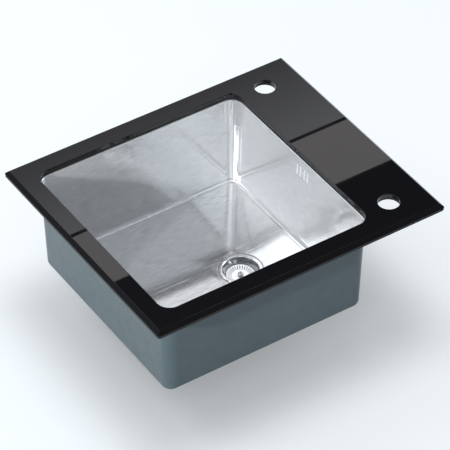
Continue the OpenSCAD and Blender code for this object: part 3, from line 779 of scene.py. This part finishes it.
def turned(outline, sides=96, middle=DRAIN, level=DRAIN_Z, hexagon=None):
    """Sweeps the outline round an upright axis; points at the hexagon's radius follow a hexagon."""
    made = bmesh.new()
    rows = []
    for side in range(sides):
        angle = 2 * pi * side / sides
        stretch = cos(pi / 6) / cos(angle % (pi / 3) - pi / 6)
        row = []
        for radius, height in outline:
            reach = radius * stretch if hexagon and abs(radius - hexagon) < 0.001 else radius
            x, y = middle[0] + reach * cos(angle), middle[1] + reach * sin(angle)
            row.append(made.verts.new((x * MM, y * MM, (level + height) * MM)))
        rows.append(row)
    for side in range(sides):
        here, there = rows[side], rows[(side + 1) % sides]
        for i in range(len(outline)):
            j = (i + 1) % len(outline)
            if outline[i][0] > 0.001 or outline[j][0] > 0.001:
                made.faces.new((here[i], here[j], there[j], there[i]))
    bmesh.ops.remove_doubles(made, verts=made.verts, dist=TOUCHING)
    bmesh.ops.recalc_face_normals(made, faces=made.faces)
    return as_mesh("turned", made)


def turned_piece(name, node, outline, made, smooth=35, sides=96):
    """A piece that is one turned outline, in the place of one node."""
    stand_in(add_piece(name, turned(outline, sides), [made], smooth), made.name, node)


print("a square with soft corners has", len(soften([(1, 0), (2, 0), (2, 1), (1, 1)], 0.1)), "points")

# %% Gaskets, slip ring, washer, seal and clip
SEALS = (("flange_gasket_ring", "flange_gasket", gasket_black, 40.0, 35.0, 1.2, 2.0, 0.2),
         ("under_gasket_ring", "under_gasket", gasket_black, 43.0, 35.0, 3.0, 4.6, 0.5),
         ("slip_ring", "friction_ring", ring_white, 43.0, 35.0, 4.6, 5.4, 0.15),
         ("tail_washer_ring", "tail_washer", gasket_black, 21.8, 17.5, 46.4, 48.4, 0.4),
         ("seal_clip_ring", "seal_clip", post_steel, 6.0, 3.5, 29.7, 30.9, 0.2))
for name, node, made, outer, inner, top, bottom, ease in SEALS:
    turned_piece(name, node, soften(tube_outline(outer, inner, top, bottom), ease), made, smooth=50)

# %% [markdown]
# The stopper seal closes on the seat inside the cup. Real ones are moulded with two thin lips on
# the underside, so its outline has two shallow grooves there.

# %% Stopper seal
SEAL_R, SEAL_TOP, SEAL_BOTTOM, GROOVE = 22.0, 27.2, 29.7, 0.5
lips = [(3.5, -SEAL_BOTTOM)]
for middle_r in (13.0, 17.5):
    lips += [(middle_r - 1.4, -SEAL_BOTTOM), (middle_r - 0.9, GROOVE - SEAL_BOTTOM),
             (middle_r + 0.9, GROOVE - SEAL_BOTTOM), (middle_r + 1.4, -SEAL_BOTTOM)]
lips += [(SEAL_R, -SEAL_BOTTOM), (SEAL_R, -SEAL_TOP), (3.5, -SEAL_TOP)]
turned_piece("stopper_disc", "stopper_seal", soften(lips, 0.6), gasket_black, smooth=50)

# %% Knob and post of the basket
KNOB_R, KNOB_TOP, KNOB_DEEP, NECK_R, DISH_UNDER = 5.5, 8.0, 4.4, 2.6, 18.2
dome = []
for step in range(13):
    angle = radians(90 - step * 79 / 12)
    dome.append((KNOB_R * cos(angle), KNOB_R * sin(angle) - KNOB_TOP - KNOB_R))
dome[0] = (0, -KNOB_TOP)
dome += [(KNOB_R - 0.3, -KNOB_TOP - KNOB_DEEP), (NECK_R + 0.5, -KNOB_TOP - KNOB_DEEP),
         (NECK_R, -KNOB_TOP - KNOB_DEEP - 0.5), (NECK_R, -DISH_UNDER), (0, -DISH_UNDER)]
turned_piece("knob", "basket_knob", dome, knob_chrome, sides=64)

POST_R, HUB_R, POST_END = 3.5, 8.0, 44.1
post_outline = soften([(0, -DISH_UNDER), (HUB_R, -DISH_UNDER), (HUB_R, -SEAL_TOP), (POST_R, -SEAL_TOP),
                       (POST_R, 1 - POST_END), (POST_R - 1, -POST_END), (0, -POST_END)], 0.4)
turned_piece("post", "basket_post", post_outline, post_steel, sides=64)

# %% [markdown]
# ## Geometry Nodes for what repeats
# Two small trees make what repeats within a piece. The first sets copies of one mesh round an
# upright axis: one sector becomes the slotted dish, one rib the twelve of the coupling nut, one lug
# the eight of the lock nut, one arm the four that carry the post. The second sweeps a small diamond
# along a spiral and joins it to the piece: a screw thread. An array modifier could do the first, but
# a tree has named inputs and its finish in one place.

# %% Helpers for the trees
def new_tree(name, inputs):
    tree = bpy.data.node_groups.new(name, "GeometryNodeTree")
    tree.interface.new_socket("Mesh", in_out="INPUT", socket_type="NodeSocketGeometry")
    for label, kind in inputs:
        tree.interface.new_socket(label, in_out="INPUT", socket_type="NodeSocket" + kind)
    tree.interface.new_socket("Mesh", in_out="OUTPUT", socket_type="NodeSocketGeometry")
    return tree


def close_tree(tree, shape, made):
    """Makes copies real, puts the finish on them and ends the tree."""
    real = add_node(tree, "GeometryNodeRealizeInstances", {"Geometry": shape})[0]
    coated = add_node(tree, "GeometryNodeSetMaterial", {"Geometry": real, "Material": made})[0]
    add_node(tree, "NodeGroupOutput", {0: coated})
    print("tree", tree.name, "with", len(tree.nodes), "nodes")


def grown(piece, tree, values):
    """Puts the tree on the piece with those inputs, and applies it."""
    modifier = piece.modifiers.new("tree", "NODES")
    modifier.node_group = tree
    for item in tree.interface.items_tree:
        if item.in_out == "INPUT" and item.name in values:
            modifier[item.identifier] = values[item.name]
    baked(piece)
    work = bmesh.new()
    work.from_mesh(piece.data)
    bmesh.ops.remove_doubles(work, verts=work.verts, dist=TOUCHING)
    work.to_mesh(piece.data)
    work.free()


# %% Tree: copies round an axis
ring_tree = new_tree("copies_round_axis", (("Count", "Int"), ("Middle", "Vector"), ("Finish", "Material")))
given = add_node(ring_tree, "NodeGroupInput")
share = add_node(ring_tree, "ShaderNodeMath", {0: 2 * pi, 1: given["Count"]}, operation="DIVIDE")[0]
index = add_node(ring_tree, "GeometryNodeInputIndex")[0]
turn_by = add_node(ring_tree, "ShaderNodeMath", {0: index, 1: share}, operation="MULTIPLY")[0]
turned_to = add_node(ring_tree, "ShaderNodeCombineXYZ", {"Z": turn_by})[0]
spots = add_node(ring_tree, "GeometryNodePoints", {"Count": given["Count"]})[0]
copies = add_node(ring_tree, "GeometryNodeInstanceOnPoints",
                  {"Points": spots, "Instance": given["Mesh"], "Rotation": turned_to})[0]
moved = add_node(ring_tree, "GeometryNodeTransform", {"Geometry": copies, "Translation": given["Middle"]})[0]
close_tree(ring_tree, moved, given["Finish"])

# %% Tree: screw thread
thread_tree = new_tree("screw_thread", (("Radius", "Float"), ("Pitch", "Float"), ("Turns", "Float"),
                                        ("Ridge", "Float"), ("Start", "Vector"), ("Steps", "Int"),
                                        ("Finish", "Material")))
given = add_node(thread_tree, "NodeGroupInput")
climb = add_node(thread_tree, "ShaderNodeMath", {0: given["Pitch"], 1: given["Turns"]},
                 operation="MULTIPLY")[0]
path = add_node(thread_tree, "GeometryNodeCurveSpiral",
                {"Resolution": given["Steps"], "Rotations": given["Turns"], "Start Radius": given["Radius"],
                 "End Radius": given["Radius"], "Height": climb})[0]
ridge = add_node(thread_tree, "GeometryNodeCurvePrimitiveCircle",
                 {"Resolution": 4, "Radius": given["Ridge"]})[0]
swept = add_node(thread_tree, "GeometryNodeCurveToMesh",
                 {"Curve": path, "Profile Curve": ridge, "Fill Caps": True})[0]
moved = add_node(thread_tree, "GeometryNodeTransform", {"Geometry": swept, "Translation": given["Start"]})[0]
both = add_node(thread_tree, "GeometryNodeJoinGeometry", {0: moved})[0]
feed(both.node, {0: given["Mesh"]})
close_tree(thread_tree, both, given["Finish"])

# %% [markdown]
# ### The slotted dish
# The dish is pressed from thin sheet: a flat middle, a slope up to a rim that fits the cup, and
# thirty radial slits. One sector is a strip of three columns, with the middle one open where the
# slit is. Over its last 0.75 mm the slit narrows to a point along an arc, for its round ends. Thirty
# sectors are welded, then Solidify and Bevel make them sheet.

# %% Slotted dish
SLITS, SLIT_HALF, SLIT_FROM, SLIT_TO = 30, 0.75, 16.0, 25.3
DISH_R, DISH_FLAT_R, DISH_MID, DISH_EDGE, DISH_T = 26.8, 15.0, 17.0, 13.0, 1.2


def dish_height(radius):
    """Depth of the dish's top: flat, then a slope eased at both ends, then the rim."""
    along = (radius - DISH_FLAT_R) / (DISH_R - 1.0 - DISH_FLAT_R)
    along = min(max(along, 0), 1)
    eased_share = along + 0.04 * sin(2 * pi * (along - 0.5))
    return -DISH_MID + (DISH_MID - DISH_EDGE) * eased_share


def dish_sector():
    half = pi / SLITS
    ends = [(e, SLIT_HALF * sqrt(1 - (1 - e / SLIT_HALF) ** 2)) for e in (0.0, 0.12, 0.35, SLIT_HALF)]
    straight = SLIT_TO - SLIT_FROM - 2 * SLIT_HALF
    spans = [(r, SLIT_HALF, False) for r in (NECK_R, 6.0, 10.0, 13.5, 14.6, 15.2)]
    spans += [(SLIT_FROM + e, width, True) for e, width in ends]
    spans += [(SLIT_FROM + SLIT_HALF + straight * k / 6, SLIT_HALF, True) for k in range(1, 6)]
    spans += [(SLIT_TO - e, width, True) for e, width in reversed(ends)]
    spans += [(r, SLIT_HALF, False) for r in (25.8, 26.2, 26.6, DISH_R)]
    made = bmesh.new()
    rows = []
    for radius, width, _ in spans:
        drop = 0.5 * max(0, radius - 26.2) ** 2
        row = []
        for angle in (-half, -width / radius, width / radius, half):
            row.append(made.verts.new((radius * cos(angle) * MM, radius * sin(angle) * MM,
                                       (DRAIN_Z + dish_height(radius) - drop) * MM)))
        rows.append(row)
    for k in range(len(spans) - 1):
        is_open = spans[k][2] and spans[k + 1][2]
        here, there = rows[k], rows[k + 1]
        for column in ((0, 2) if is_open else (0, 1, 2)):
            made.faces.new((here[column], there[column], there[column + 1], here[column + 1]))
    bmesh.ops.remove_doubles(made, verts=made.verts, dist=TOUCHING / 10)
    return as_mesh("dish_sector", made)


dish = add_piece("slotted_dish", dish_sector(), [lit_dish_steel])
grown(dish, ring_tree, {"Count": SLITS, "Middle": (*DRAIN_AT, 0), "Finish": lit_dish_steel})
sheet = dish.modifiers.new("sheet", "SOLIDIFY")
sheet.thickness, sheet.offset, sheet.use_even_offset = (DISH_T - 0.1) * MM, -1, True
edge = dish.modifiers.new("edge", "BEVEL")
edge.width, edge.segments, edge.limit_method, edge.angle_limit = 0.15 * MM, 1, "ANGLE", radians(40)
baked(dish)
shade_smooth(dish.data, 50)
stand_in(dish, "strainer_steel", "basket")

# %% [markdown]
# The dish sits so deep that the lamps hardly reach it. One soft lamp, nearly overhead and a little
# behind, lights the dish alone: its slope there leans to the camera and mirrors what is above it.

# %% Lamp for the dish
aim = (*DRAIN_AT, -0.2)
dish_lamp = soft_lamp("soft_over_dish", (0.30, 0.40, 1.0), aim, (1.0, 1.0), 4.5, (0.98, 0.99, 1.0))
only_dish = bpy.data.collections.new("lit by the dish lamp")
only_dish.objects.link(dish)
dish_lamp.light_linking.receiver_collection = only_dish

# %% [markdown]
# ### The strainer body
# One outline holds the polished ring, the funnel, the cup, the seat and the spigot. A thread runs
# round the cup for the lock nut and round the spigot for the coupling nut: only the turns that
# show between the two nuts are made. Below the seat, four arms carry the sleeve that guides the post.

# %% Strainer body
RING_R, RING_PROUD, RING_UNDER, MOUTH_R = 40.5, 0.8, 1.2, 33.2
CUP_R, CUP_OUT_R, FUNNEL_H, SEAT, WALL = 27.6, 29.0, 12.5, 30.0, 1.4
SPIGOT_R, SPIGOT_BORE, SPIGOT_END, OUTLET_R = 22.0, 17.5, 46.4, 15.0
SLEEVE_R, SLEEVE_BORE, SLEEVE_TOP, SLEEVE_END, ARM_H = 7.0, 3.55, 31.6, 38.1, 3.5
ring_top = soften([(CUP_R, -FUNNEL_H), (MOUTH_R, -0.4), (MOUTH_R + 1.4, RING_PROUD),
                   (RING_R - 1.2, RING_PROUD), (RING_R, -0.4), (RING_R, -RING_UNDER),
                   (MOUTH_R + 0.65, -RING_UNDER), (CUP_OUT_R, -FUNNEL_H - WALL / 2)], 1.5, 4)
lower = soften([(CUP_OUT_R, -SEAT - WALL), (SPIGOT_R, -SEAT - WALL), (SPIGOT_R, -SPIGOT_END),
                (SPIGOT_BORE, -SPIGOT_END), (SPIGOT_BORE, -SEAT - WALL), (OUTLET_R, -SEAT - WALL),
                (OUTLET_R, -SEAT), (CUP_R, -SEAT)], 0.6)
body_mesh = turned(ring_top + lower, 144)
sleeve = turned(soften(tube_outline(SLEEVE_R, SLEEVE_BORE, SLEEVE_TOP, SLEEVE_END), 0.4), 48)


def spoke(x_from, x_to, width, top, bottom, round_mm):
    """A box along X with its edges rounded, from one depth below the drain's floor to another."""
    made = bmesh.new()
    bmesh.ops.create_cube(made, size=1)
    low, high = (x_from, -width / 2, DRAIN_Z - bottom), (x_to, width / 2, DRAIN_Z - top)
    for vert in made.verts:
        for axis in range(3):
            vert.co[axis] = (high[axis] if vert.co[axis] > 0 else low[axis]) * MM
    bmesh.ops.bevel(made, geom=made.edges[:], offset=round_mm * MM, segments=2, profile=0.5, affect="EDGES")
    return as_mesh("spoke", made)


arm_mesh = spoke(SLEEVE_BORE + 1, SPIGOT_BORE + 1, 3, SLEEVE_TOP, SLEEVE_TOP + ARM_H, 0.4)
arm = add_piece("arm", arm_mesh, [strainer_steel])
grown(arm, ring_tree, {"Count": 4, "Middle": (*DRAIN_AT, 0), "Finish": strainer_steel})
strainer = add_piece("strainer", join_meshes("strainer", [body_mesh, sleeve, arm.data]), [strainer_steel])
bpy.data.objects.remove(arm)


def thread_on(piece, radius, bottom, top, pitch, ridge_size, made, steps, middle=DRAIN, level=DRAIN_Z):
    """A thread from one height to another, in millimetres, joined to the piece."""
    grown(piece, thread_tree, {"Radius": radius * MM, "Pitch": pitch * MM, "Turns": (top - bottom) / pitch,
                               "Ridge": ridge_size * MM, "Steps": steps, "Finish": made,
                               "Start": (middle[0] * MM, middle[1] * MM, (level + bottom) * MM)})


def funnel_side(face):
    off = hypot(face.center.x - DRAIN_AT[0], face.center.y - DRAIN_AT[1]) / MM
    return CUP_R - 0.5 < off < MOUTH_R - 0.1 and face.center.z < (DRAIN_Z - 0.9) * MM


thread_on(strainer, CUP_OUT_R, -30.9, -26.9, 1.8, 0.5, strainer_steel, 96)
thread_on(strainer, SPIGOT_R, -36.0, -32.0, 1.8, 0.5, strainer_steel, 96)
# The darker, painted-shade steel goes on the funnel's inside.
coat_where(strainer, funnel_painted_shade, funnel_side)
strainer.data.set_sharp_from_angle(angle=radians(38))
stand_in(strainer, "strainer_steel", "strainer_body")

# %% Lock nut and coupling nut
def nut(name, node, body, copy, count):
    """A turned body with copies of one box round it, as one piece."""
    ring = add_piece("ring", copy, [nut_white])
    grown(ring, ring_tree, {"Count": count, "Middle": (*DRAIN_AT, 0), "Finish": nut_white})
    piece = add_piece(name, join_meshes(name, [body, ring.data]), [nut_white], smooth=35)
    bpy.data.objects.remove(ring)
    stand_in(piece, nut_white.name, node)


NUT_R, NUT_TOP, NUT_CONE, NUT_NECK, NUT_END, NUT_COLLAR_R, NUT_IN_R = 43.0, 5.4, 11.4, 16.4, 26.4, 35.5, 35.0
lock_outline = soften([(NUT_IN_R, -NUT_TOP), (NUT_R, -NUT_TOP), (NUT_R, -NUT_CONE),
                       (NUT_COLLAR_R, -NUT_NECK), (NUT_COLLAR_R, -NUT_END), (CUP_OUT_R + 0.05, -NUT_END),
                       (CUP_OUT_R + 0.05, -NUT_NECK), (NUT_IN_R, -NUT_TOP - 3)], 0.8)
lug = spoke(NUT_COLLAR_R - 1, NUT_R - 1, 5, NUT_CONE, NUT_END, 0.7)
nut("lock_nut_moulding", "lock_nut", turned(lock_outline, 120), lug, 8)

COUPLING_R, COUPLING_TOP, LIP_TOP, COUPLING_END, LIP_BORE = 26.5, 36.4, 50.4, 52.9, 19.9
coupling_outline = soften([(SPIGOT_R + 0.05, -COUPLING_TOP), (COUPLING_R, -COUPLING_TOP),
                           (COUPLING_R, -COUPLING_END), (LIP_BORE, -COUPLING_END), (LIP_BORE, -LIP_TOP),
                           (SPIGOT_R + 0.05, -LIP_TOP)], 0.7)
rib = spoke(COUPLING_R - 1, COUPLING_R + 1.5, 3, COUPLING_TOP, COUPLING_END, 0.6)
nut("coupling_nut_moulding", "coupling_nut", turned(coupling_outline), rib, 12)

# %% Tailpiece
TAIL_R, TAIL_FLANGE_R, TAIL_COLLAR_R, TAIL_TOP, TAIL_END = 19.0, 21.8, 19.4, 48.4, 95.4
tail_outline = soften([(SPIGOT_BORE, -TAIL_TOP), (TAIL_FLANGE_R, -TAIL_TOP), (TAIL_FLANGE_R, -LIP_TOP),
                       (TAIL_COLLAR_R, -LIP_TOP), (TAIL_COLLAR_R, -COUPLING_END - 0.5),
                       (TAIL_R, -COUPLING_END - 0.5), (TAIL_R, -TAIL_END), (SPIGOT_BORE, -TAIL_END)], 0.4)
turned_piece("tail_tube", "tailpiece", tail_outline, nut_white)

# %% [markdown]
# ### The fixing clips
# Each clip is a tapped aluminium block under the frame, a screw that hangs in it and a pawl that
# swings out under the worktop. The thread shows when the clip is let down. So every screw is a
# turned core with a flanged head and a hexagon socket, and the thread tree winds a fine ridge round
# it. The eight places are read from the frame.

# %% Clips
SCREW_R, RIDGE, PITCH, TIP = 2.5, 0.38, 0.8, 0.2
SEAT_Z, FLANGE_R, HEAD_R, HEAD_END, KEY = -15.4, 4.5, 3.8, -19.4, 2.3
core_r = SCREW_R - RIDGE
screw_outline = [(0, TIP), (core_r - 0.5, TIP), (core_r, TIP - 0.5), (core_r, SEAT_Z)]
screw_outline += soften([(core_r, SEAT_Z), (FLANGE_R, SEAT_Z), (FLANGE_R, SEAT_Z - 1), (HEAD_R, SEAT_Z - 1.1),
                         (HEAD_R, HEAD_END), (KEY, HEAD_END)], 0.3)[4:-4]
screw_outline += [(KEY + 0.25, HEAD_END), (KEY, HEAD_END + 0.25), (KEY, HEAD_END + 2), (0, HEAD_END + 2.4)]
for number in range(1, 9):
    low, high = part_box(f"clip_screw_{number}")
    at = ((low.x + high.x) / 2 / MM, (low.y + high.y) / 2 / MM)
    screw = add_piece(f"screw_{number}", turned(screw_outline, 48, at, 0, KEY), [screw_zinc], smooth=35)
    thread_on(screw, core_r, SEAT_Z + 0.6, TIP - 0.8, PITCH, RIDGE, screw_zinc, 16, at, 0)
    stand_in(screw, "screw_zinc", f"clip_screw_{number}")
    eased(f"pawl_{number}", f"clip_pawl_{number}", pawl_zinc, 0.25)
eased("blocks", "clip_blocks", block_alloy, 0.5)

# %% [markdown]
# ## The size of the CAD model
# The CAD model's box is printed.

# %% Size of the CAD model
print("cad ", [round(c, 4) for c in (*cad_box[0], *cad_box[1])])
